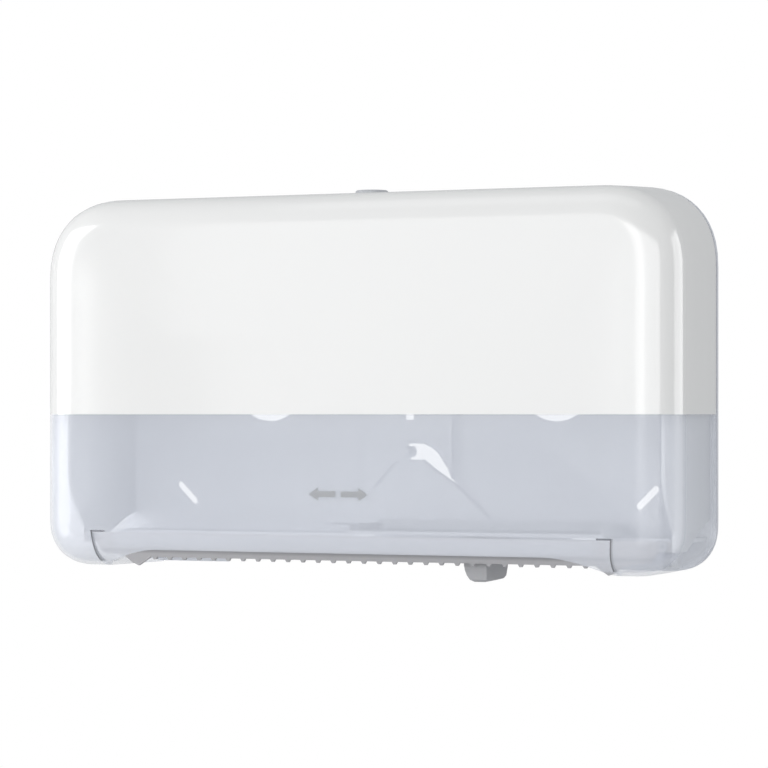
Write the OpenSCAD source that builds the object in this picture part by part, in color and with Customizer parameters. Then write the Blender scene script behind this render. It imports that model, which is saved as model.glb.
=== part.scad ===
// Twin jumbo toilet roll dispenser for a wall: two roll hubs on a back plate, a drop-down
// cover with a clear lower window, and a sliding tray that closes one paper outlet at a time.
// Frame: X to the right, +Y into the wall, +Z up. The origin is the middle of the rear face.

/* [Housing] */
// Greatest width, across the cover
body_w = 472; // [460:1:490]
// Height of the back plate
body_h = 265.9; // [262:0.1:274]
// Depth from the wall to the front of the cover
body_d = 130; // [128:1:138]
// Extent of the upper corners, seen from the front
corner_top = 57; // [50:1:62]
// Extent of the lower corners, seen from the front
corner_bottom = 33; // [32:1:36]
// Squareness of all the curves, where 2 is a circle
curve_power = 2.3; // [2:0.1:2.5]

/* [Cover] */
// Wall thickness of the cover
cover_wall = 2.6; // [2:0.1:3]
// Height of the seam between the white shell and the clear window
split_z = -25.5; // [-31:0.1:-20]
// Gap between the back plate's edge and the cover's rear edge
cover_gap = 0.6; // [0.4:0.1:1]
// How much narrower each side is at the wall than at its widest
side_lean = 7.5; // [6:0.5:9]
// How much lower the top is in front than at the wall
top_lean = 5.9; // [5:0.1:8]
// How much lower the underside is at the wall than in front
bottom_lean = 1.2; // [0:0.1:1.4]
// Rounding between the front and the sides, top and bottom
front_round = 28; // [24:1:29]
// Height of the front's crown over its rounding
crown = 3.4; // [2:0.1:4]
// Rise of the window's lower edge over the bottom, at the paper outlets
arch_rise = 12.4; // [11:0.1:14]
// Run over which that edge curves down to the bottom
arch_run = 45; // [38:1:52]
// Distance from the cover's widest point to the arch's ends
arch_inset = 46; // [45:0.5:47]
// Rise of the slits beside the arch
slit_rise = 25.8; // [24:0.1:27]
// Distance from the cover's widest point to the slits
slit_inset = 42.6; // [41.8:0.1:43.4]
// Length of each slit towards the middle
slit_run = 10.7; // [9:0.1:12]
// Width of the slits
slit_w = 1.1; // [0.8:0.1:1.3]

/* [Back plate] */
// Thickness of the back plate
plate_t = 3.5; // [3:0.1:4]
// Height of the lip inside the cover's edge
lip_h = 10; // [8:0.5:12]
// Thickness of the lip
lip_t = 2.4; // [2:0.1:3]
// Height that the middle column stands out
column_h = 4; // [3:0.5:5]
// Half width of the middle column
column_half = 34; // [30:1:37]
// Distance from the cover's widest point to the screw slots and holes
slot_inset = 57.4; // [56:0.1:59]
// Height of the lower screw slots and upper holes from the bottom and top edges
slot_rise = 49.3; // [47:0.1:51]
// Length of the lower screw slots
slot_len = 22; // [20:0.5:24]
// Width of the screw slots and holes
slot_w = 5.6; // [4.4:0.1:6]

/* [Roll hubs] */
// Distance between the two roll hubs
hub_spacing = 222.5; // [220:0.5:226]
// Height of the hubs above the middle
hub_z = -0.5; // [-3:0.5:1]
// Diameter of the lands that carry the roll's core
hub_land_d = 44.4; // [43:0.2:45]
// Diameter of the hub between its lands
hub_d = 40; // [39:0.5:41]
// Distance from the wall to the hub's front end
hub_reach = 88; // [84:0.5:92]
// Diameter of the fixed post that the hub turns on
post_d = 25; // [24:0.5:26]
// Wall thickness of hubs and posts
hub_wall = 2.4; // [2:0.1:3]
// Radial clearance between hub and post
hub_play = 0.1; // [0.08:0.01:0.1]

/* [Slide tray] */
// Half of the tray's travel, which is also its place at rest
tray_x = 79.4; // [76:0.2:82]
// Half width of the tray's floor
tray_half = 94; // [90:1:98]
// Thickness of the tray
tray_t = 2.4; // [2:0.1:3]
// Rise of the tops of both rails over the bottom
rail_rise = 22.6; // [22:0.1:23.2]
// Distance from the wall to the pull tab's front
tab_reach = 79; // [76:0.5:80]
// Depth of the pull tab
tab_depth = 42; // [38:1:42]
// Width of the pull tab
tab_w = 16.6; // [15:0.2:20]
// How far the pull tab hangs below the bottom
tab_drop = 7.5; // [6:0.1:9]

/* [Tear bar] */
// Distance from the wall to the bar's front face
bar_reach = 84; // [82:0.5:85]
// Rise of the bar's lower edge between the teeth over the bottom
bar_rise = 5.4; // [5:0.1:6]
// Distance between teeth
tooth_pitch = 11.6; // [10:0.1:12]
// Number of teeth
tooth_count = 29; // [25:2:29]
// Height of a tooth
tooth_h = 1.8; // [1.4:0.1:2]

/* [Hinge and lock] */
// Distance from the wall to the hinge's axis
hinge_reach = 12.2; // [11.8:0.1:12.4]
// Rise of the hinge's axis over the bottom
hinge_rise = 6.5; // [6.2:0.1:6.8]
// Diameter of the hinge pins
pin_d = 4; // [3.6:0.1:4.2]
// Distance from the cover's widest point to the hinge arms
arm_inset = 39; // [38.6:0.1:39.4]
// Distance from the wall to the lock's axis
lock_reach = 73; // [72:0.5:74]
// Diameter of the lock's bezel
bezel_d = 23; // [21:0.5:24]
// Diameter of the lock's barrel
barrel_d = 12; // [11:0.5:13]

/* [Hidden] */

half_w = body_w / 2;
half_h = body_h / 2;
gap = 0.3;                                  // between pieces that move past each other
seg = 12;                                   // segments in each corner of an outline
rounds = 6;                                 // rings in the front rounding
last = rounds + 4;                          // number of the cover's foremost ring
cover_rear = plate_t + cover_gap;
lean_end = body_d - crown - front_round;    // depth at which the front rounding starts
bottom_z = -half_h;
arch_z = bottom_z + arch_rise;
arch_end = half_w - arch_inset;
arch_flat = arch_end - arch_run;
slit_z = bottom_z + slit_rise;
slit_x = half_w - slit_inset;
slot_x = half_w - slot_inset;
rail_z = bottom_z + rail_rise;
tab_z = bottom_z - tab_drop;
bar_low_z = bottom_z + bar_rise;
hinge_z = bottom_z + hinge_rise;
arm_x = half_w - arm_inset;
hub_x = hub_spacing / 2;
floor_z = rail_z + 1.5;                     // underside of the tray's floor
bar_t = 2.5;
bracket_x = half_w - 14.4;                  // inner face of each side wall
fix_x = bracket_x - 6;                      // their screws
bracket_t = 2.4;
rail_front = 36;
ear_r = 4.5;
ear_t = 6;
ear_gap = 0.4;
notch_z = bottom_z + 13;                    // the cover is open behind and below this height
top_at_lock = half_h - top_lean * (lock_reach - cover_rear) / (lean_end - cover_rear);
cam_z = top_at_lock - 17.8;
bar_fix_z = rail_z - 3.4;
fix_heights = [14, 42];
keeper_heights = [cam_z - 7, cam_z + 3];
white = [0.94, 0.94, 0.94];
pale = [0.86, 0.87, 0.88];
grey = [0.62, 0.62, 0.64];
steel = [0.72, 0.72, 0.74];
clear = [0.75, 0.79, 0.87, 0.5];

// ---- outlines -------------------------------------------------------------------------------

// One quarter of a curve about its centre, from angle a, with the same reach both ways
function corner(cx, cz, r, a) = [for (i = [0 : seg])
    let (t = a + 90 * i / seg, c = cos(t), s = sin(t))
    [cx + r * sign(c) * pow(abs(c), 2 / curve_power),
     cz + r * sign(s) * pow(abs(s), 2 / curve_power)]];

// The housing's outline drawn in by sx, st and sb, with its corners cut by a further amount
function outline(sx, st, sb, cut) = let (
    rt = max(corner_top - cut, 8), rb = max(corner_bottom - cut, 8),
    x = half_w - sx, zt = half_h - st, zb = sb - half_h)
    concat(corner(x - rt, zt - rt, rt, 0), corner(rt - x, zt - rt, rt, 90),
        corner(rb - x, zb + rb, rb, 180), corner(x - rb, zb + rb, rb, 270));

// Depth, side inset, top inset and bottom inset of the cover's ring i, and its corner cut
function cover_ring(i) =
    i == 0 ? [cover_rear, side_lean, 0, -bottom_lean, 0] :
    i == 1 ? [(cover_rear + lean_end) / 2, side_lean * 0.35, top_lean / 2, -bottom_lean / 2, 0] :
    i < rounds + 3 ? let (a = 90 * (i - 2) / rounds, out = 1 - pow(cos(a), 2 / curve_power),
        in = front_round * out)
        [lean_end + front_round * pow(sin(a), 2 / curve_power), in, top_lean + in, in, in] :
    let (in = front_round + 34 * (i - rounds - 2))
        [body_d - (i == last ? 0 : crown * 0.3), in, top_lean + in, in, in];

// The points of the cover's ring i, drawn in by t
function ring_points(i, t) = let (r = cover_ring(i),
    o = outline(r[1] + t, r[2] + t, r[3] + t, r[4] + t))
    [for (p = o) [p[0], -(i == 0 ? r[0] - max(t, 0) : r[0] - t), p[1]]];

// ---- helpers --------------------------------------------------------------------------------

// The body inside the cover's surface, drawn in by t
module cover_solid(t) {
    n = 4 * (seg + 1);
    rear = [for (k = [0 : n - 1]) k];
    front = [for (k = [n - 1 : -1 : 0]) last * n + k];
    walls = [for (i = [0 : last - 1]) for (k = [0 : n - 1])
        let (a = i * n + k, b = i * n + (k + 1) % n) each [[a, a + n, b + n], [a, b + n, b]]];
    polyhedron(points = [for (i = [0 : last]) each ring_points(i, t)],
        faces = concat([rear], walls, [front]), convexity = 4);
}

// Extrudes a front view drawing between two depths from the wall
module front_plate(near, far) {
    translate([0, -near, 0]) rotate([90, 0, 0]) linear_extrude(far - near) children();
}

// Extrudes a side view drawing, with Y and Z as its axes, between two widths
module side_plate(from, to) {
    translate([from, 0, 0]) rotate([90, 0, 90]) linear_extrude(to - from) children();
}

// A block between two widths, two depths from the wall and two heights
module block(x1, x2, near, far, z1, z2) {
    translate([x1, -far, z1]) cube([x2 - x1, far - near, z2 - z1]);
}

// A cylinder along Y between two depths from the wall
module peg(x, z, d, near, far) {
    translate([x, -near, z]) rotate([90, 0, 0]) cylinder(d = d, h = far - near, $fn = 72);
}

// A tube along Y between two depths from the wall
module tube(x, z, d, bore, near, far) {
    difference() {
        peg(x, z, d, near, far);
        peg(x, z, bore, near - 1, far + 1);
    }
}

// A disc or shaft along Z between two heights
module post(x, depth, d, z1, z2) {
    translate([x, -depth, z1]) cylinder(d = d, h = z2 - z1, $fn = 64);
}

// A pan-head screw that goes len into the wall's direction, with a cross recess
module screw(x, depth, z, d, len) {
    difference() {
        union() {
            peg(x, z, d, depth - len, depth);
            peg(x, z, 2 * d, depth, depth + 0.6 * d);
        }
        block(x - 0.7 * d, x + 0.7 * d, depth + 0.3 * d, depth + d, z - 0.12 * d, z + 0.12 * d);
        block(x - 0.12 * d, x + 0.12 * d, depth + 0.3 * d, depth + d, z - 0.7 * d, z + 0.7 * d);
    }
}

// Copies its children to both sides
module both() {
    children();
    mirror([1, 0, 0]) children();
}

// ---- back plate and what is fixed to it -----------------------------------------------------

// The half-moon window in the middle column, beside the stud
crescent = [[-2.5, -46.5], [12.5, -46.5], [19, -49.4], [23.6, -53.2], [31.4, -65],
    [35.5, -75.6], [20.6, -65.6], [10.6, -58.1], [-1, -58.1], [-1, -56.6], [3.6, -54.8],
    [4, -52.3], [3.4, -49.5], [-2.5, -48.3]];

// Upright plate on the wall with its lip, middle column, hub bridges and hinge cheeks
module back_plate() {
    in = cover_wall + 0.6;
    color(pale) difference() {
        union() {
            front_plate(0, plate_t) polygon(outline(side_lean - 0.4, 0, -bottom_lean, 0));
            front_plate(plate_t, plate_t + column_h) polygon([[-column_half, 100],
                [-column_half, -73], [-67, -104], [67, -104], [column_half, -73],
                [column_half, 100]]);
            intersection() {
                front_plate(plate_t, plate_t + lip_h) difference() {
                    polygon(outline(side_lean + in, in + 0.8, in, in));
                    polygon(outline(side_lean + in + lip_t, in + lip_t + 0.8, in + lip_t,
                        in + lip_t));
                }
                block(-half_w, half_w, 0, 60, bottom_z + 196, half_h);
            }
            both() for (x = [arm_x - ear_t / 2 - ear_gap - 4, arm_x + ear_t / 2 + ear_gap])
                hinge_cheek(x);
        }
        both() {
            difference() {
                peg(hub_x, hub_z, 60, -1, 20);
                block(hub_x - 40, hub_x + 40, -1, 20, hub_z - 20, hub_z + 20);
            }
            for (s = [-1, 1]) peg(hub_x + s * 28, hub_z, 3, -1, 20);
            translate([slot_x, 0, bottom_z + slot_rise]) rotate([0, -45, 0]) {
                for (m = [0, 1]) mirror([m, 0, 0]) peg((slot_len - slot_w) / 2, 0, slot_w, -1, 20);
                block(-(slot_len - slot_w) / 2, (slot_len - slot_w) / 2, -1, 20,
                    -slot_w / 2, slot_w / 2);
            }
            peg(slot_x, half_h - slot_rise, slot_w, -1, 20);
            for (z = fix_heights) peg(fix_x, z, 3, -1, 20);
            translate([0, -hinge_reach, hinge_z]) rotate([0, 90, 0])
                cylinder(d = pin_d, h = half_w, $fn = 64);
        }
        front_plate(-1, 20) polygon(crescent);
        block(-arch_flat, arch_flat, -1, 20, bottom_z - 5, bottom_z + 3);
        for (z = keeper_heights) peg(-34, z, 3, -1, 20);
        block(-4.1, 4.9, -1, 20, -29.5, -6);
    }
}

// A cheek that carries one end of a hinge pin, starting at width x
module hinge_cheek(x) {
    side_plate(x, x + 4) {
        translate([-hinge_reach, hinge_z]) circle(r = 5.5, $fn = 48);
        polygon([[-plate_t, hinge_z - 5.4], [-hinge_reach, hinge_z - 5.4],
            [-hinge_reach - 5.4, hinge_z], [-hinge_reach - 3, hinge_z + 4.5],
            [-plate_t, hinge_z + 12]]);
    }
}

// Right-hand side wall of the roll bay, with lugs at the wall and behind the tear bar
module bracket() {
    back = bar_reach - bar_t;
    difference() {
        union() {
            side_plate(bracket_x, bracket_x + bracket_t) translate([0, bottom_z])
                polygon([[-plate_t, 194], [-90, 194], [-102, 190], [-108, 180], [-108, 62],
                    [-104, 52], [-84, 28], [-84, 15.2], [-58, 15.2], [-22, 30],
                    [-plate_t, 35]]);
            block(bracket_x - 12, bracket_x, plate_t, plate_t + 2.5, 0, 56);
            block(bracket_x - 12, bracket_x, back - 2.5, back, bottom_z + 15.6, bottom_z + 22);
        }
        for (z = fix_heights) peg(fix_x, z, 3, 0, 20);
        peg(fix_x, bar_fix_z, 3, back - 20, bar_reach);
    }
}

module bracket_left() {
    color(grey) mirror([1, 0, 0]) bracket();
}

module bracket_right() {
    color(grey) bracket();
}

// Angle that carries the tray's rear edge along the back plate
module rear_rail() {
    color(grey) {
        block(-bracket_x + 0.1, bracket_x - 0.1, plate_t, rail_front, rail_z - 2.4, rail_z);
        wide = arm_x - 11;
        block(-wide, wide, plate_t, plate_t + 2.4, bottom_z + 10, rail_z - 2.4);
        block(-wide, wide, rail_front - 2, rail_front, rail_z - 6, rail_z - 2.4);
    }
}

// Front rail with the saw teeth that cut the paper
module tear_bar() {
    first = -(tooth_count - 1) / 2 * tooth_pitch - 1.8;
    teeth = [for (i = [0 : tooth_count - 1]) let (x = first + i * tooth_pitch)
        each [[x - 1.9, bar_low_z], [x - 0.8, bar_low_z - tooth_h],
            [x + 0.8, bar_low_z - tooth_h], [x + 1.9, bar_low_z]]];
    foot = [[9.5, 16], [15.6, 8], [33, 6], [39.5, 1.2], [44.6, -0.9], [54, 5.4]]; // inset, rise
    color(grey) difference() {
        front_plate(bar_reach - bar_t, bar_reach) polygon(concat(
            [[-bracket_x, rail_z], [-bracket_x, bottom_z + 16]],
            [for (p = foot) [p[0] - bracket_x, bottom_z + p[1]]], teeth,
            [for (i = [5 : -1 : 0]) [bracket_x - foot[i][0], bottom_z + foot[i][1]]],
            [[bracket_x, bottom_z + 16], [bracket_x, rail_z]]));
        both() peg(fix_x, bar_fix_z, 3, bar_reach - 20, bar_reach + 1);
    }
}

module bar_screws() {
    color(steel) for (s = [-1, 1]) screw(s * fix_x, bar_reach, bar_fix_z, 3, bar_t + 2.5);
}

module bracket_screws() {
    color(steel) for (s = [-1, 1]) for (z = fix_heights)
        screw(s * fix_x, plate_t + 2.5, z, 3, plate_t + 2.2);
}

// Fixed post with a foot on the back plate's bridge
module hub_post(x) {
    difference() {
        union() {
            front_plate(plate_t, plate_t + 3) translate([x, hub_z]) square([72, 36], center = true);
            peg(x, hub_z, post_d, plate_t + 2, hub_reach - 6);
            peg(x, hub_z, post_d + 6, plate_t + 2, 15);
        }
        peg(x, hub_z, post_d - 2 * hub_wall, -1, hub_reach - 9);
        for (s = [-1, 1]) peg(x + s * 28, hub_z, 3, 0, 20);
        tube(x, hub_z, post_d + 1, post_d - 2, hub_reach - 10, hub_reach - 8.6);
    }
}

module hub_post_left() {
    color(pale) hub_post(-hub_x);
}

module hub_post_right() {
    color(pale) hub_post(hub_x);
}

module post_screws() {
    color(steel) for (s = [-1, 1]) for (t = [-1, 1])
        screw(s * hub_x + t * 28, plate_t + 3, hub_z, 3, plate_t + 2.8);
}

// Snap ring in the post's groove that keeps the hub on
module retaining_ring(x) {
    tube(x, hub_z, post_d + 6, post_d - 2, hub_reach - 9.9, hub_reach - 8.7);
}

module retaining_ring_left() {
    color(steel) retaining_ring(-hub_x);
}

module retaining_ring_right() {
    color(steel) retaining_ring(hub_x);
}

// Bent strip from the back plate to the lock, with a wall that the cam catches behind
module latch_keeper() {
    front = lock_reach + 4.6;
    color(steel) difference() {
        union() {
            block(-26, -24, plate_t, front + 2, cam_z - 5, cam_z + 7);
            block(-26, -15, front, front + 2, cam_z - 5, cam_z + 7);
            block(-44, -24, plate_t, plate_t + 2, cam_z - 10.4, cam_z + 7);
        }
        for (z = keeper_heights) peg(-34, z, 3, 0, 20);
    }
}

module keeper_screws() {
    color(steel) for (z = keeper_heights) screw(-34, plate_t + 2, z, 3, plate_t + 1.8);
}

// Pin through the cover's arm, held by the cheeks on either side
module hinge_pin(x) {
    len = ear_t + 2 * ear_gap + 8;
    color(steel) translate([x - len / 2, -hinge_reach, hinge_z]) rotate([0, 90, 0])
        cylinder(d = pin_d, h = len, $fn = 64);
}

module hinge_pin_left() {
    hinge_pin(-arm_x);
}

module hinge_pin_right() {
    hinge_pin(arm_x);
}

// Boss over the half-moon window, with the arm that hangs across the window's left half
module centre_stud() {
    color(pale) {
        peg(-0.4, -52.3, 7, plate_t + column_h, plate_t + column_h + 5);
    }
}

module centre_arm() {
    near = plate_t + column_h;
    color(pale) front_plate(near, near + 2) difference() {
        polygon([[-2, -44], [-12, -47], [-26, -62], [-33, -78], [-26, -78], [-10, -60],
            [2.6, -60], [2.6, -56.6], [6, -55.4], [7.2, -51.6], [5.6, -48.4], [1, -48.3],
            [1, -44.6]]);
        translate([-0.4, -52.3]) circle(d = 7.2, $fn = 48);
    }
}

// ---- cover ----------------------------------------------------------------------------------

// The whole cover as one thin wall
module cover_skin() {
    difference() {
        cover_solid(0);
        cover_solid(cover_wall);
    }
}

// White upper shell with the hole for the lock
module cover_shell() {
    color(white) difference() {
        intersection() {
            cover_skin();
            block(-half_w - 1, half_w + 1, 0, body_d + 1, split_z, half_h + 1);
        }
        post(0, lock_reach, bezel_d, 100, half_h + 1);
    }
}

// Front view of what is cut away under the window: a level edge that curves down at both ends
arch_step = 6;
arch_curve = [for (i = [0 : arch_step]) let (t = i / arch_step)
    [arch_flat + (arch_end - arch_flat) * t, arch_z + (bottom_z - arch_z) * pow(t, 1.7)]];

// Clear lower window, open below for the paper
module cover_window() {
    color(clear) difference() {
        intersection() {
            cover_skin();
            block(-half_w - 1, half_w + 1, 0, body_d + 1, bottom_z - 1, split_z);
        }
        front_plate(0, body_d + 2) polygon(concat([[-arch_end, bottom_z - 2]],
            [for (i = [arch_step : -1 : 0]) [-arch_curve[i][0], arch_curve[i][1]]],
            arch_curve, [[arch_end, bottom_z - 2]]));
        block(-half_w - 1, half_w + 1, 0, hinge_reach - 3, bottom_z - 1, notch_z);
        both() {
            block(arm_x - 9, arm_x + 9, 0, hinge_reach + 7, bottom_z - 1, notch_z);
            front_plate(lean_end, body_d + 2) polygon([[slit_x - slit_run, slit_z],
                [slit_x, slit_z], [slit_x - 1.2, bottom_z + 12], [arch_end + 1, bottom_z - 2],
                [arch_end + 1 - slit_w, bottom_z - 2], [slit_x - 1.2 - slit_w, bottom_z + 12],
                [slit_x - slit_w, slit_z - slit_w], [slit_x - slit_run, slit_z - slit_w]]);
        }
    }
}

// Clear strip inside the window over the arch, with four short ribs
module window_sill() {
    color(clear) {
        intersection() {
            difference() {
                cover_solid(cover_wall + 0.05);
                cover_solid(cover_wall + 1.8);
            }
            block(-arch_end + 12, arch_end - 12, lean_end, body_d, arch_z + 1, slit_z - 2.5);
        }
        intersection() {
            difference() {
                cover_solid(cover_wall + 0.3);
                cover_solid(cover_wall + 1.8);
            }
            for (x = [-31.5, -10.5, 10.5, 31.5])
                block(x - 0.6, x + 0.6, lean_end, body_d, slit_z - 3, slit_z + 8.7);
        }
    }
}

// Ear of the cover that turns on the hinge pin
module hinge_arm(x) {
    floor = bottom_z + cover_wall + 0.75;
    color(clear) difference() {
        side_plate(x - ear_t / 2, x + ear_t / 2) {
            translate([-hinge_reach, hinge_z]) circle(r = ear_r, $fn = 48);
            polygon([[-hinge_reach, hinge_z + ear_r], [-hinge_reach - 14, hinge_z + 3],
                [-hinge_reach - 32, floor + 1], [-hinge_reach - 32, floor],
                [-hinge_reach - 7, floor], [-hinge_reach - 3, hinge_z - 3]]);
        }
        translate([x - ear_t, -hinge_reach, hinge_z]) rotate([0, 90, 0])
            cylinder(d = pin_d + 0.2, h = 2 * ear_t, $fn = 64);
    }
}

module hinge_arm_left() {
    hinge_arm(-arm_x);
}

module hinge_arm_right() {
    hinge_arm(arm_x);
}

// Two plain arrows on the window that show which way the tray slides
module slide_arrows() {
    color(grey) intersection() {
        difference() {
            cover_solid(-0.25);
            cover_solid(-0.02);
        }
        front_plate(body_d - 8, body_d + 2) translate([-1.6, bottom_z + 53]) for (m = [0, 1])
            mirror([m, 0]) polygon([[2.1, -2], [15, -2], [15, -4.5], [21.6, 0], [15, 4.5],
                [15, 2], [2.1, 2]]);
    }
}

// Round bezel let into the top of the cover
module lock_bezel() {
    color(grey) translate([0, -lock_reach, 0]) rotate_extrude($fn = 64)
        polygon([[barrel_d / 2 + 0.15, top_at_lock - 4.2], [bezel_d / 2 - 0.05, top_at_lock - 4.2],
            [bezel_d / 2 - 0.05, top_at_lock + 1.1], [bezel_d / 2 - 0.85, top_at_lock + 1.9],
            [barrel_d / 2 + 0.15, top_at_lock + 1.9]]);
}

// Nut that holds the bezel from inside
module lock_nut() {
    color(steel) difference() {
        post(0, lock_reach, bezel_d + 5, top_at_lock - 7.2, top_at_lock - 4.3);
        post(0, lock_reach, barrel_d + 0.3, 100, half_h);
    }
}

// ---- lock -----------------------------------------------------------------------------------

// Barrel with a slot for a flat key
module lock_barrel() {
    top = top_at_lock + 1.5;
    color(steel) difference() {
        union() {
            post(0, lock_reach, barrel_d, cam_z + 3, top);
            post(0, lock_reach, barrel_d - 5, cam_z, cam_z + 3);
        }
        block(-0.9, 0.9, lock_reach - 4, lock_reach + 4, top - 3, top + 1);
        block(-2.4, 2.4, lock_reach - 0.9, lock_reach + 0.9, top - 3, top + 1);
        post(0, lock_reach, 3, cam_z - 1, cam_z + 8);
    }
}

// Cam under the barrel: rests pointing to the wall, catches the keeper after a quarter turn
module lock_cam() {
    color(steel) difference() {
        union() {
            post(0, lock_reach, 15, cam_z, cam_z + 2.8);
            block(-4, 4, lock_reach - 21, lock_reach, cam_z, cam_z + 2.8);
        }
        post(0, lock_reach, barrel_d - 4.9, cam_z - 1, cam_z + 4);
    }
}

module cam_screw() {
    color(steel) {
        post(0, lock_reach, 9, cam_z - 2.2, cam_z - 0.1);
        post(0, lock_reach, 3, cam_z - 1, cam_z + 7);
    }
}

// ---- roll hubs ------------------------------------------------------------------------------

// Hub for the roll's core, on two webs that turn on the post
module roll_hub(x) {
    rear = 16;
    bore = post_d + 2 * hub_play;
    inner = hub_d - 2 * hub_wall;
    difference() {
        union() {
            peg(x, hub_z, hub_d, rear, hub_reach);
            peg(x, hub_z, hub_land_d, rear + 14, rear + 17);
            peg(x, hub_z, hub_land_d, hub_reach - 6, hub_reach);
        }
        peg(x, hub_z, inner, rear + 3, hub_reach - 14);
        peg(x, hub_z, inner, hub_reach - 10.4, hub_reach + 1);
        peg(x, hub_z, bore, rear - 1, hub_reach);
    }
}

module roll_hub_left() {
    color(white) roll_hub(-hub_x);
}

module roll_hub_right() {
    color(white) roll_hub(hub_x);
}

// Disc that closes the hub's front
module hub_cap(x) {
    inner = hub_d - 2 * hub_wall;
    difference() {
        peg(x, hub_z, inner, hub_reach - 4, hub_reach - 0.6);
        peg(x, hub_z, inner - 8, hub_reach - 2.4, hub_reach);
    }
}

module hub_cap_left() {
    color(pale) hub_cap(-hub_x);
}

module hub_cap_right() {
    color(pale) hub_cap(hub_x);
}

// ---- slide tray -----------------------------------------------------------------------------

// Floor over the closed outlet, with a rim at the back and both ends
module slide_tray() {
    top = floor_z + tray_t;
    left = tray_x - tray_half;
    right = tray_x + tray_half;
    color(pale) difference() {
        union() {
            block(left, right, rail_front - 8, bar_reach - 0.5, floor_z, top);
            block(left, right, rail_front - 8, rail_front - 6, top, top + 6);
            for (x = [left, right - 2]) block(x, x + 2, rail_front - 8, bar_reach - 0.5, top,
                top + 4);
        }
        for (d = pin_depths) post(tray_x, d, 3, floor_z - 1, top + 1);
    }
}

pin_depths = [tab_reach - 10, tab_reach - tab_depth + 10];

// Pull tab: a block that hangs from the tray behind the tear bar, rounded to the left
module pull_tab() {
    rear = tab_reach - tab_depth;
    half = tab_w / 2;
    top = floor_z - 0.05;
    color(grey) difference() {
        intersection() {
            front_plate(rear, tab_reach) translate([tray_x, 0]) polygon([[-half, top],
                [half, top], [half, tab_z + 1.6], [half - 0.5, tab_z + 0.5],
                [half - 1.6, tab_z], [-half + 7.4, tab_z], [-half + 4.4, tab_z + 1.5],
                [-half + 2.2, tab_z + 4.4], [-half + 0.7, tab_z + 8], [-half, tab_z + 12]]);
            side_plate(tray_x - half - 1, tray_x + half + 1) polygon([[-rear, top],
                [-tab_reach, top], [-tab_reach, tab_z + 1.5], [-tab_reach + 1.5, tab_z],
                [-rear - 8, tab_z + 1], [-rear - 3, tab_z + 3], [-rear, tab_z + 9]]);
        }
        for (d = pin_depths) post(tray_x, d, 3, floor_z - 8, floor_z + 1);
    }
}

// Two screws that hold the tab under the tray
module tab_pins() {
    color(steel) for (d = pin_depths) {
        post(tray_x, d, 3, floor_z - 7.5, floor_z + tray_t + 0.2);
        post(tray_x, d, 6, floor_z + tray_t + 0.05, floor_z + tray_t + 1.8);
    }
}

// Four pads that ride on the two rails
module tray_glides() {
    rest = rail_z + gap;
    color(white) for (s = [-1, 1]) {
        x = tray_x + s * (tray_half - 14);
        block(x - 8, x + 8, rail_front - 7, rail_front - 1, rest, floor_z);
        block(x - 8, x + 8, bar_reach - bar_t, bar_reach - 0.5, rest, floor_z);
    }
}

back_plate();
bracket_left();
bracket_right();
rear_rail();
tear_bar();
bar_screws();
bracket_screws();
hub_post_left();
hub_post_right();
post_screws();
retaining_ring_left();
retaining_ring_right();
latch_keeper();
keeper_screws();
hinge_pin_left();
hinge_pin_right();
centre_stud();
centre_arm();
cover_shell();
cover_window();
window_sill();
hinge_arm_left();
hinge_arm_right();
slide_arrows();
lock_bezel();
lock_nut();
lock_barrel();
lock_cam();
cam_screw();
roll_hub_left();
roll_hub_right();
hub_cap_left();
hub_cap_right();
slide_tray();
pull_tab();
tab_pins();
tray_glides();
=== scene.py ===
import math

import bmesh
import bpy
from mathutils import Matrix, Vector


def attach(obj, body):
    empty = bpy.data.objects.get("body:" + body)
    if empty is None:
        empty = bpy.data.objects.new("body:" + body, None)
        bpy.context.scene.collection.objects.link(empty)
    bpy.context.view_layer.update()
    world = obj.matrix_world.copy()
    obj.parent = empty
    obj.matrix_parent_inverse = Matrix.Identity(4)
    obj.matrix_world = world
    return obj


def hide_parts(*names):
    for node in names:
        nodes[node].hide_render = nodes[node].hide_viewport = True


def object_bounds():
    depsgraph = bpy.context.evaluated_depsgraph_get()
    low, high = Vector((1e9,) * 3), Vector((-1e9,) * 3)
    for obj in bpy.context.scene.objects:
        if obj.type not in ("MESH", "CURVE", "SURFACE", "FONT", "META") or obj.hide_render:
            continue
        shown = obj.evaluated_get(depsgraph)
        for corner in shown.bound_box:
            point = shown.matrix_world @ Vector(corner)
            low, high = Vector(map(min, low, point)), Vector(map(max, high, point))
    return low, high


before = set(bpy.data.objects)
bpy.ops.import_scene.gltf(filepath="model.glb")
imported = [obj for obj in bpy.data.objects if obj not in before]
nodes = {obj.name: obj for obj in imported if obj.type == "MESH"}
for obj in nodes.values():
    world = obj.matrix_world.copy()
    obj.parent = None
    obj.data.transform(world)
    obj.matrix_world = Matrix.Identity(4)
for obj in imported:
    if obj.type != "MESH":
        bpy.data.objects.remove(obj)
cad_low, cad_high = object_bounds()
scene = bpy.context.scene

# ---- Room: white surroundings with plain softboxes, and the view from the right -----------------
# The dispenser hangs at hand height, so the pale floor lies well below it. A front box, a left
# strip, a top box and a weak right one light it. Three cards light nothing and show in the gloss.

VIEW_SPOT = (0.8045, -1.9679, -0.0256)  # level with the cover's seam
VIEW_TURN = math.radians(22.77)         # how far it looks back to the left
VIEW_RISE = 0.0397                      # shift that sets the object low in the frame
LENS, SENSOR = 138.3, 36.0

lens_data = bpy.data.cameras.new("view")
lens_data.lens = LENS
lens_data.sensor_width = SENSOR
lens_data.shift_y = VIEW_RISE
lens_data.clip_end = 50.0
view = bpy.data.objects.new("view", lens_data)
view.location = VIEW_SPOT
view.rotation_euler = (math.radians(90.0), 0.0, VIEW_TURN)
scene.collection.objects.link(view)
scene.camera = view

scene.view_settings.view_transform = "Standard"


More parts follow.
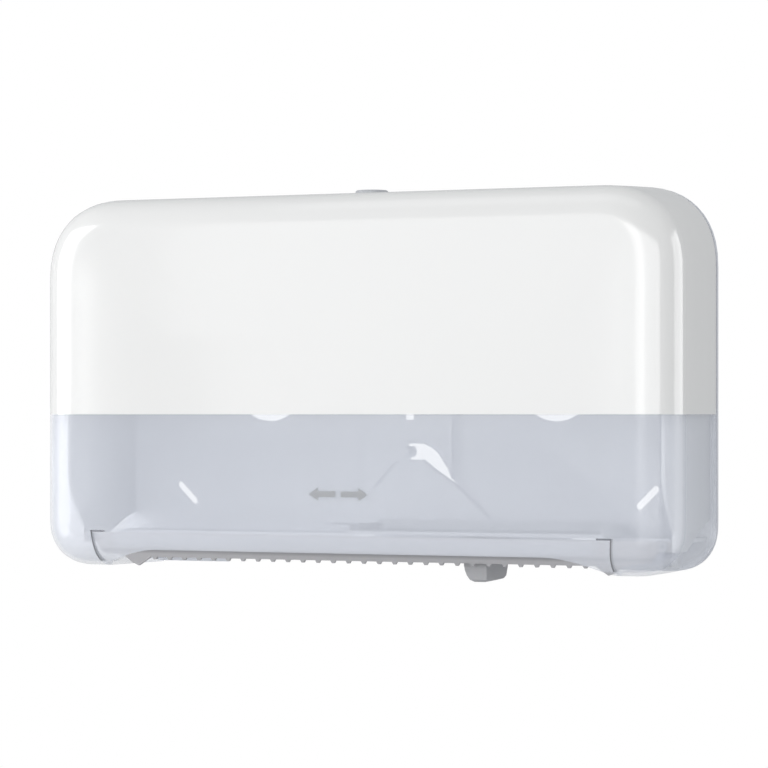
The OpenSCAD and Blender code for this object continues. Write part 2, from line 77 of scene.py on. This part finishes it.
class Socket:
    """One value or link in a material, with sums and products written as plain maths."""

    def __init__(self, material, link):
        self.material, self.link = material, link

    def join(self, operation, *terms):
        values = dict(enumerate(terms))
        return self.material.node("ShaderNodeMath", {"operation": operation}, values)

    def __add__(self, other):
        return self.join("ADD", self, other)

    def __sub__(self, other):
        return self.join("SUBTRACT", self, other)

    def __rsub__(self, other):
        return self.join("SUBTRACT", other, self)

    def __mul__(self, other):
        return self.join("MULTIPLY", self, other)

    def __abs__(self):
        return self.join("ABSOLUTE", self)

    __radd__, __rmul__ = __add__, __mul__


class Finish:
    """A material under construction: adds nodes to its tree and hands back their outputs."""

    def __init__(self, name, tree=None):
        self.block = None
        if tree is None:
            self.block = bpy.data.materials.new(name)
            self.block.use_nodes = True
            tree = self.block.node_tree
        self.tree = tree
        tree.nodes.clear()

    def node(self, kind, settings=None, values=None, output=0):
        made = self.tree.nodes.new(kind)
        for key, value in (settings or {}).items():
            setattr(made, key, value)
        for key, value in (values or {}).items():
            if isinstance(value, Socket):
                self.tree.links.new(value.link, made.inputs[key])
            else:
                made.inputs[key].default_value = value
        return Socket(self, made.outputs[output])

    def place(self, axis=None):
        spot = self.node("ShaderNodeTexCoord", output="Object")
        if axis is None:
            return spot
        return self.node("ShaderNodeSeparateXYZ", {}, {"Vector": spot}, output=axis)

    def noise(self, scale, detail=3.0):
        return self.node("ShaderNodeTexNoise", {},
                         {"Vector": self.place(), "Scale": scale, "Detail": detail}, output="Fac")

    def blend(self, factor, low, high):
        return self.node("ShaderNodeMix", {"data_type": "RGBA"},
                         {"Factor": factor, 6: (*low, 1.0), 7: (*high, 1.0)}, output=2)

    def bump(self, height, distance, strength):
        return self.node("ShaderNodeBump", {},
                         {"Height": height, "Distance": distance, "Strength": strength})

    def plastic(self, **values):
        names = {"colour": "Base Color", "rough": "Roughness", "metal": "Metallic",
                 "normal": "Normal", "alpha": "Alpha", "coat": "Coat Weight",
                 "coat_rough": "Coat Roughness", "ior": "IOR"}
        shader = self.node("ShaderNodeBsdfPrincipled", {},
                           {names[key]: value for key, value in values.items()})
        self.finish(shader)
        return self.block

    def finish(self, shader, kind="ShaderNodeOutputMaterial"):
        end = self.tree.nodes.new(kind)
        self.tree.links.new(shader.link, end.inputs["Surface"])


WHITE = (1.0, 1.0, 1.0, 1.0)
AIR_COLOUR, AIR_LEVEL = (0.96, 0.98, 1.0, 1.0), 0.56  # what lights the object from all round

world = bpy.data.worlds.new("room")
scene.world = world
world.use_nodes = True
air = Finish("room", world.node_tree)
seen = air.node("ShaderNodeLightPath", output="Is Camera Ray")
through = air.node("ShaderNodeLightPath", output="Is Transmission Ray")
backdrop = air.node("ShaderNodeBackground", {}, {"Color": WHITE, "Strength": 1.0})
ambient = air.node("ShaderNodeBackground", {}, {"Color": AIR_COLOUR, "Strength": AIR_LEVEL})
air.finish(air.node("ShaderNodeMixShader", {}, {0: seen + through, 1: ambient, 2: backdrop}),
           "ShaderNodeOutputWorld")

FLOOR_LEVEL, FLOOR_HALF = -1.3, 15.0

floor_mesh = bpy.data.meshes.new("floor")
ground = bmesh.new()
bmesh.ops.create_grid(ground, x_segments=1, y_segments=1, size=FLOOR_HALF,
                      matrix=Matrix.Translation((0.0, 0.0, FLOOR_LEVEL)))
ground.to_mesh(floor_mesh)
ground.free()
floor = bpy.data.objects.new("floor", floor_mesh)
scene.collection.objects.link(floor)
paint = Finish("floor_paint")
matt = paint.node("ShaderNodeBsdfDiffuse", {}, {"Color": (0.82, 0.82, 0.82, 1.0)})
glow = paint.node("ShaderNodeEmission", {}, {"Color": WHITE, "Strength": 1.0})
seen = paint.node("ShaderNodeLightPath", output="Is Camera Ray")
paint.finish(paint.node("ShaderNodeMixShader", {}, {0: seen, 1: matt, 2: glow}))
floor_mesh.materials.append(paint.block)


def softbox(name, spot, aim, size, watts, lights=True, shows=True):
    """A rectangular lamp at spot that faces aim; it may only light, or only show in gloss."""
    lamp = bpy.data.lights.new(name, "AREA")
    lamp.shape = "RECTANGLE"
    lamp.size, lamp.size_y = size
    lamp.energy = watts
    holder = bpy.data.objects.new(name, lamp)
    holder.location = spot
    holder.visible_diffuse, holder.visible_glossy = lights, shows
    holder.rotation_euler = (Vector(aim) - Vector(spot)).to_track_quat("-Z", "Y").to_euler()
    scene.collection.objects.link(holder)


softbox("front_box", spot=(-0.35, -2.2, 0.45), aim=(0.0, 0.0, 0.0), size=(1.6, 1.2), watts=9.8)
softbox("left_strip", spot=(-1.5, -0.75, 0.1), aim=(-0.2, -0.05, 0.0), size=(0.35, 1.6),
        watts=11.0, shows=False)
softbox("left_card", spot=(-1.381, -0.935, 0.1), aim=(-0.22, -0.1, 0.0), size=(0.916, 1.6),
        watts=28.5, lights=False)
softbox("top_box", spot=(0.0, -0.4, 1.5), aim=(0.0, 0.0, 0.0), size=(1.4, 0.8), watts=2.3)
softbox("right_fill", spot=(1.4, -1.0, 0.0), aim=(0.236, -0.05, 0.0), size=(0.6, 1.2),
        watts=4.0, shows=False)
softbox("corner_card", spot=(1.05, -2.36, 0.0), aim=(0.22, -0.11, 0.0), size=(2.69, 2.2),
        watts=56.0, lights=False)
softbox("rim_card", spot=(1.49, 0.74, 0.0), aim=(0.236, -0.08, 0.0), size=(1.1, 1.6),
        watts=14.0, lights=False)

# ---- Back plate, with the hub posts, the centre stud and arm, and the rear rail -----------------
# Pale, cold grey plastic mouldings that stay on the wall. The plate is screwed to the wall, and
# the posts, the arm and the rail for the tray are fixed on the plate.


def moulded(name, low, high, rough, grain, ior=1.46):
    """Fine-textured moulded plastic whose colour drifts a little."""
    made = Finish(name)
    return made.plastic(colour=made.blend(made.noise(6.0), low, high),
                        rough=rough + 0.1 * made.noise(40.0), ior=ior,
                        normal=made.bump(made.noise(grain, 2.0), 0.00002, 0.25))


def dress(material, *names):
    """Gives solids from the frame their finish."""
    for name in names:
        solid = nodes[name].data
        solid.materials.clear()
        solid.materials.append(material)


plate_grey = moulded("back_plate_plastic", (0.66, 0.68, 0.73), (0.68, 0.70, 0.75), 0.42, 700.0)
dress(plate_grey, "back_plate", "hub_post_left", "hub_post_right", "centre_stud", "centre_arm",
      "rear_rail")

# ---- Side brackets ------------------------------------------------------------------------------
# Two mirrored mouldings with side walls, screwed to the plate's ends. They carry the tear bar.
# Their grey carries painted shade: darkest by the wall, where the shell shades the inside, and
# paler toward the front.

SHADE_START, SHADE_RATE = -0.1, 10.0  # where the painted shade starts, and how fast it deepens per metre of depth

bracket_shading = Finish("bracket_plastic_painted_shade")
# Painted shade: the colour darkens with depth toward the wall, standing in for the shade inside
# the cover.
bracket_grey_painted_shade = bracket_shading.plastic(
    colour=bracket_shading.blend((bracket_shading.place("Y") - SHADE_START) * SHADE_RATE, (0.74, 0.755, 0.79),
                      (0.44, 0.455, 0.49)),
    rough=0.40 + 0.1 * bracket_shading.noise(40.0), ior=1.46,
    normal=bracket_shading.bump(bracket_shading.noise(700.0, 2.0), 0.00002, 0.25))
dress(bracket_grey_painted_shade, "bracket_left", "bracket_right")

# ---- Tear bar -----------------------------------------------------------------------------------
# A strip of mid grey plastic with saw teeth below, screwed between the brackets. A painted shadow
# darkens a narrow band where the window's lip hangs close in front of it.

SHADOW_LEVEL, SHADOW_FADE_RATE = -0.1230, 420.0  # height of the painted shadow's band, and how fast it fades per metre

bar = Finish("bar_plastic_painted_shadow")
# Painted shadow: a dark band on the bar just under the window's lip.
bar_grey_painted_shadow = bar.plastic(
    colour=bar.blend(1.0 - abs(bar.place("Z") - SHADOW_LEVEL) * SHADOW_FADE_RATE, (0.39, 0.385, 0.40),
                     (0.24, 0.24, 0.255)),
    rough=0.36 + 0.1 * bar.noise(40.0), ior=1.46,
    normal=bar.bump(bar.noise(1400.0, 2.0), 0.00002, 0.25))
dress(bar_grey_painted_shadow, "tear_bar")

# ---- Roll hubs ----------------------------------------------------------------------------------
# Two smooth white plastic drums that hold the rolls' cores. They turn on the fixed posts, and a
# cap closes each one in front.

hub_white = moulded("hub_plastic", (0.74, 0.76, 0.80), (0.78, 0.80, 0.84), 0.30, 1200.0)
dress(hub_white, "roll_hub_left", "roll_hub_right", "hub_cap_left", "hub_cap_right")

# ---- Sliding tray, with its glides and pull tab -------------------------------------------------
# A matt pale tray that slides sideways on glides of the hubs' plastic, between the rear rail and
# the bar. The darker tab is pinned under it. The pins and the bar's screws are tinted like it.

tray_pale = moulded("tray_plastic", (0.46, 0.475, 0.51), (0.49, 0.505, 0.54), 0.7, 700.0,
                    ior=1.2)
tab_grey = moulded("tab_plastic", (0.37, 0.37, 0.385), (0.41, 0.41, 0.425), 0.36, 1400.0)
dress(tray_pale, "slide_tray", "tab_pins", "bar_screws")
dress(hub_white, "tray_glides")
dress(tab_grey, "pull_tab")

# ---- Screws, snap rings, keeper strip and hinge pins --------------------------------------------
# Plain steel: the screws, the snap rings that hold the hubs on the posts, the strip that the
# lock's cam hooks behind, and the pins in the plate's cheeks that the cover swings on.

metal = Finish("plain_steel")
steel = metal.plastic(
    colour=metal.blend(metal.noise(80.0), (0.55, 0.55, 0.56), (0.66, 0.66, 0.67)),
    rough=0.26 + 0.18 * metal.noise(220.0), metal=1.0,
    normal=metal.bump(metal.noise(1800.0, 2.0), 0.00003, 0.4))
dress(steel, "bracket_screws", "post_screws", "keeper_screws", "retaining_ring_left",
      "retaining_ring_right", "latch_keeper", "hinge_pin_left", "hinge_pin_right")

# ---- Cover: white upper shell and clear lower window --------------------------------------------
# Two gloss mouldings share one bulging outline with large soft corners and meet at a level seam.
# The shell is opaque white; the window is clear with a cold tint and is open below for paper.

HALF_W, HALF_H = round(cad_high[0], 5), round(cad_high[2], 5)
WALL = 0.0026                                # thickness of both mouldings
SEAM = -0.0255                               # height of the joint between them
REAR, EDGE_START = 0.0041, 0.0986            # depths of the rear edge and of the front rounding
EDGE_ROUND = 0.028                           # reach of that rounding
SWELL, FALL, SAG = 0.0075, 0.0059, 0.0012    # how much the sides, top and underside lean
TOP_R, LOW_R, LEAST_R = 0.057, 0.033, 0.008  # extent of the corners, and the least in front
SQUARENESS = 2.0 / 2.3                       # exponent of all the curves, where 1 is a circle
CORNER_STEPS, EDGE_STEPS = 20, 12
CROWN = ((0.012, 0.0010), (0.034, 0.0024), (0.068, 0.0034))  # inset and rise of the front's rings


def curve(angle, reach):
    """A point of the corner curve at an angle, which is squarer than a circle."""
    across, up = math.cos(angle), math.sin(angle)
    return (reach * math.copysign(abs(across) ** SQUARENESS, across),
            reach * math.copysign(abs(up) ** SQUARENESS, up))


def outline(side_in, top_in, low_in, cut):
    """Points round the cover, seen from the front, drawn in by the amounts given."""
    rt, rb = max(TOP_R - cut, LEAST_R), max(LOW_R - cut, LEAST_R)
    x, zt, zb = HALF_W - side_in, HALF_H - top_in, low_in - HALF_H
    corners = ((x - rt, zt - rt, rt), (rt - x, zt - rt, rt), (rb - x, zb + rb, rb),
               (x - rb, zb + rb, rb))
    spots = []
    for turn, (cx, cz, reach) in enumerate(corners):
        for step in range(CORNER_STEPS + 1):
            dx, dz = curve(math.pi / 2 * (turn + step / CORNER_STEPS), reach)
            spots.append((cx + dx, cz + dz))
    return spots


def cover_rings():
    """Depth, side, top and low insets and corner cut of each ring from the wall to the front."""
    rings = []
    for part in (0.0, 0.25, 0.5, 0.75):
        rings.append((REAR + (EDGE_START - REAR) * part, SWELL * (1.0 - part) ** 1.5,
                      FALL * part, -SAG * (1.0 - part), 0.0))
    for step in range(EDGE_STEPS + 1):
        angle = math.pi / 2 * step / EDGE_STEPS
        out = EDGE_ROUND * (1.0 - math.cos(angle) ** SQUARENESS)
        rings.append((EDGE_START + EDGE_ROUND * math.sin(angle) ** SQUARENESS, out, FALL + out,
                      out, out))
    for inset, rise in CROWN:
        out = EDGE_ROUND + inset
        rings.append((EDGE_START + EDGE_ROUND + rise, out, FALL + EDGE_ROUND + inset, out, out))
    return rings


def cover_skin():
    """The cover's outer surface, ring by ring from the wall, closed in front."""
    skin = bmesh.new()
    rings = [[(x, -depth, z) for x, z in outline(*insets)] for depth, *insets in cover_rings()]
    verts = [skin.verts.new(spot) for spot in rings[0]]
    edges = [skin.edges.new((verts[i], verts[(i + 1) % len(verts)])) for i in range(len(verts))]
    for ring in rings[1:]:
        grown = bmesh.ops.extrude_edge_only(skin, edges=edges)["geom"]
        edges = [e for e in grown if isinstance(e, bmesh.types.BMEdge)]
        fresh = {v for v in grown if isinstance(v, bmesh.types.BMVert)}
        verts = [next(e.other_vert(v) for e in v.link_edges if e.other_vert(v) in fresh)
                 for v in verts]
        for vert, spot in zip(verts, ring):
            vert.co = spot
    bmesh.ops.contextual_create(skin, geom=edges)
    bmesh.ops.recalc_face_normals(skin, faces=skin.faces[:])
    return skin


def half_cover(keep_upper):
    """The part of the cover above or below the seam, given its wall."""
    skin = cover_skin()
    bmesh.ops.bisect_plane(skin, geom=skin.verts[:] + skin.edges[:] + skin.faces[:],
                           plane_co=(0.0, 0.0, SEAM), plane_no=(0.0, 0.0, 1.0),
                           clear_outer=not keep_upper, clear_inner=keep_upper)
    bmesh.ops.solidify(skin, geom=skin.faces[:], thickness=WALL)
    return skin


def put(name, source, material):
    """Turns a bmesh into a piece of the scene."""
    shape = bpy.data.meshes.new(name)
    source.to_mesh(shape)
    source.free()
    piece = bpy.data.objects.new(name, shape)
    scene.collection.objects.link(piece)
    shape.materials.append(material)
    return piece


def carve(piece, *cutters):
    """Cuts closed shapes out of a piece, keeps the result as its mesh and smooths that."""
    for cutter in cutters:
        tool = bpy.data.meshes.new("cutter")
        cutter.to_mesh(tool)
        cutter.free()
        holder = bpy.data.objects.new("cutter", tool)
        scene.collection.objects.link(holder)
        step = piece.modifiers.new("carve", "BOOLEAN")
        step.object, step.operation, step.solver = holder, "DIFFERENCE", "EXACT"
        bpy.context.view_layer.update()
        cut = bpy.data.meshes.new_from_object(
            piece.evaluated_get(bpy.context.evaluated_depsgraph_get()))
        piece.modifiers.clear()
        old, piece.data = piece.data, cut
        bpy.data.meshes.remove(old)
        cut.name = piece.name
        bpy.data.objects.remove(holder)
        bpy.data.meshes.remove(tool)
    for face in piece.data.polygons:
        face.use_smooth = True
    piece.data.set_sharp_from_angle(angle=math.radians(35.0))


gloss = Finish("white_gloss_plastic")
ripple, speck = gloss.noise(9.0, 2.0), gloss.noise(900.0, 2.0)
white_gloss = gloss.plastic(
    colour=gloss.blend(gloss.noise(3.0), (0.858, 0.855, 0.846), (0.883, 0.878, 0.866)),
    rough=0.13 + 0.05 * gloss.noise(60.0), coat=0.25, coat_rough=0.05, ior=1.5,
    normal=gloss.bump(ripple * 0.6 + speck * 0.02, 0.0006, 0.25))

LOCK_REACH, LOCK_HOLE_R = 0.073, 0.0115  # depth of the lock's axis, and its hole

shell = put("shell_moulding", half_cover(True), white_gloss)
lock_hole = bmesh.new()
bmesh.ops.create_cone(lock_hole, cap_ends=True, segments=96, radius1=LOCK_HOLE_R,
                      radius2=LOCK_HOLE_R, depth=0.06,
                      matrix=Matrix.Translation((0.0, -LOCK_REACH, HALF_H)))
carve(shell, lock_hole)
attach(shell, "cover")
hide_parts("cover_shell")


def clear(name, low, high, rough, alpha):
    """Clear gloss plastic with a cold tint and a faint ripple."""
    made = Finish(name)
    return made.plastic(colour=made.blend(made.noise(4.0), low, high),
                        rough=rough + 0.05 * made.noise(50.0),
                        alpha=alpha + 0.02 * made.noise(5.0), ior=1.5,
                        normal=made.bump(made.noise(7.0, 2.0), 0.0006, 0.25))


def prism(points, near, far):
    """A front view outline, given in metres, carried between two depths from the wall."""
    block = bmesh.new()
    face = block.faces.new([block.verts.new((x, -near, z)) for x, z in points])
    grown = bmesh.ops.extrude_face_region(block, geom=[face])["geom"]
    bmesh.ops.translate(block, vec=(0.0, near - far, 0.0),
                        verts=[v for v in grown if isinstance(v, bmesh.types.BMVert)])
    bmesh.ops.recalc_face_normals(block, faces=block.faces[:])
    return block


def brick(low, high):
    """A block between two corners."""
    block = bmesh.new()
    bmesh.ops.create_cube(block, size=1.0)
    bmesh.ops.scale(block, vec=[b - a for a, b in zip(low, high)], verts=block.verts[:])
    bmesh.ops.translate(block, vec=[(a + b) / 2 for a, b in zip(low, high)], verts=block.verts[:])
    return block


BELOW, IN_FRONT, PAST = -0.138, 0.135, 0.004  # how far the cutting shapes reach past the cover
ARCH_TOP = -0.12055                           # height of the lip over the paper gap
ARCH_FLAT, ARCH_END = 0.145, 0.190            # half widths of its level run and of the whole gap
ARCH_STEPS, ARCH_BEND = 14, 1.7
REAR_CUT_TOP = -0.11995                       # the underside's rear strip is cut up to here
REAR_CUT, HINGE_CUT = 0.0092, 0.0192          # depth of that cut, and of those round the hinges
HINGE_X, HINGE_HALF = 0.197, 0.009
SLIT = 0.0011                                 # width of the slits that part the hinge corners
SLIT_TOP, SLIT_IN, SLIT_OUT = -0.1072, 0.1827, 0.1934
SLIT_RUN = ((SLIT_OUT, SLIT_TOP), (0.1922, -0.121), (0.1916, -0.1295), (0.1910, BELOW))

arch = [(ARCH_FLAT + (ARCH_END - ARCH_FLAT) * step / ARCH_STEPS,
         ARCH_TOP - (HALF_H + ARCH_TOP) * (step / ARCH_STEPS) ** ARCH_BEND)
        for step in range(ARCH_STEPS + 1)]
paper_gap = prism([(-ARCH_END, BELOW), *((-x, z) for x, z in reversed(arch)), *arch,
                   (ARCH_END, BELOW)], -PAST, IN_FRONT)
swing_gap = brick((-HALF_W - PAST, -REAR_CUT, BELOW), (HALF_W + PAST, PAST, REAR_CUT_TOP))
slit_line = [(SLIT_IN, SLIT_TOP), *SLIT_RUN,
             *((x - SLIT, min(z, SLIT_TOP - SLIT)) for x, z in reversed(SLIT_RUN)),
             (SLIT_IN, SLIT_TOP - SLIT)]
hinge_gaps = []
for way in (-1, 1):
    hinge_gaps.append(prism([(way * x, z) for x, z in slit_line], EDGE_START, IN_FRONT))
    hinge_gaps.append(brick((way * HINGE_X - HINGE_HALF, -HINGE_CUT, BELOW),
                            (way * HINGE_X + HINGE_HALF, PAST, REAR_CUT_TOP)))

window_clear = clear("clear_tinted_plastic", (0.83, 0.86, 0.94), (0.85, 0.88, 0.96), 0.08, 0.33)
window = put("window_moulding", half_cover(False), window_clear)
carve(window, paper_gap, swing_gap, *hinge_gaps)
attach(window, "cover")
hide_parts("cover_window")
window.visible_shadow = window.visible_diffuse = False

SLIT_SHADE_FROM = 0.113  # depth past which the slits' cut walls get painted shade

# Painted shade: the slits' cut walls toward the front get a dark tint standing in for the shade
# inside them.
edge = Finish("cut_edge_painted_shade")
window.data.materials.append(edge.plastic(
    colour=edge.blend(edge.noise(30.0), (0.15, 0.155, 0.17), (0.19, 0.195, 0.21)), rough=0.4,
    alpha=0.8, ior=1.45))
for face in window.data.polygons:
    (x, y, z), turned = face.center, face.normal
    near_slit = SLIT_IN - SLIT < abs(x) < SLIT_OUT + SLIT and z < SLIT_TOP + SLIT / 2
    upright = abs(turned.x) > 0.7
    level = abs(turned.z) > 0.9 and abs(z - SLIT_TOP + SLIT / 2) < SLIT
    if near_slit and y < -SLIT_SHADE_FROM and (upright or level):
        face.material_index = 1

# ---- Window sill, hinge arms and printed arrows -------------------------------------------------
# A clear strip runs along the window's foot behind its lip, and two clear arms carry the cover
# to the hinge pins. The pair of grey arrows for the tray is printed on the window.

sill_clear = clear("clear_sill_plastic", (0.56, 0.585, 0.64), (0.58, 0.605, 0.66), 0.10, 0.26)
ink_grey = moulded("arrow_ink", (0.37, 0.38, 0.40), (0.40, 0.41, 0.43), 0.5, 900.0)
dress(sill_clear, "window_sill")
dress(window_clear, "hinge_arm_left", "hinge_arm_right")
dress(ink_grey, "slide_arrows")

# ---- Lock ---------------------------------------------------------------------------------------
# A slotted steel barrel in a grey plastic bezel on top of the shell, held below by a nut. Its cam
# is screwed to the barrel's foot and hooks behind the keeper strip.

bezel_grey = moulded("bezel_plastic", (0.47, 0.485, 0.51), (0.50, 0.515, 0.54), 0.40, 700.0)
dress(bezel_grey, "lock_bezel")
dress(steel, "lock_nut", "lock_barrel", "lock_cam", "cam_screw")
